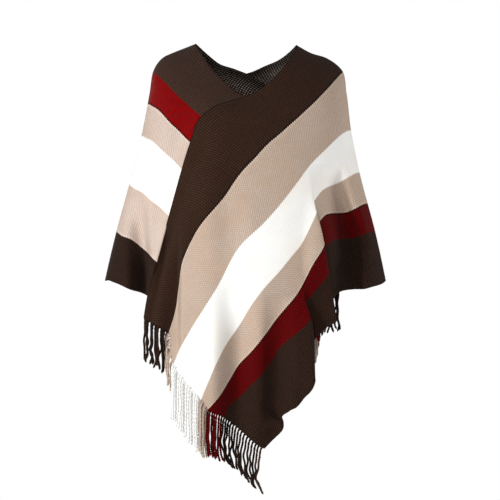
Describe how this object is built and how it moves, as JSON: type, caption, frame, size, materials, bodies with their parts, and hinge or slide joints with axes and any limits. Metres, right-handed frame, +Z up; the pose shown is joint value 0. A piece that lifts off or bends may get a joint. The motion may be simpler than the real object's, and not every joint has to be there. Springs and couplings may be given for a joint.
{
  "type": "knitted poncho with fringed ends",
  "caption": "Knitted poncho of two striped rectangles joined at front and back, V neck, open sides, fringed ends, shown filled out and hollow.",
  "frame": {"origin": "midway between the two highest points of the neck edge, where the wearer's shoulders carry the cloth", "axes": "+Z up along the body, -Y the wearer's front, +X the wearer's left"},
  "size_m": [0.6734, 0.3129, 1.0538],
  "materials": {
    "knit_left": "fine striped knit, dark brown, beige, cream and red",
    "knit_right": "fine striped knit, dark brown, red, beige and cream",
    "yarn_brown": "twisted dark brown yarn",
    "yarn_beige": "twisted beige yarn",
    "yarn_cream": "twisted cream yarn",
    "yarn_red": "twisted deep red yarn"
  },
  "bodies": {
    "root": {"panel_left": "knit_left", "panel_right": "knit_right", "fringe_front_neck_brown": "yarn_brown", "fringe_front_upper_beige": "yarn_beige", "fringe_front_cream": "yarn_cream", "fringe_front_lower_beige": "yarn_beige", "fringe_front_red": "yarn_red", "fringe_front_hem_brown": "yarn_brown", "fringe_back_neck_brown": "yarn_brown", "fringe_back_red": "yarn_red", "fringe_back_upper_beige": "yarn_beige", "fringe_back_cream": "yarn_cream", "fringe_back_lower_beige": "yarn_beige", "fringe_back_hem_brown": "yarn_brown"}
  },
  "joints": []
}
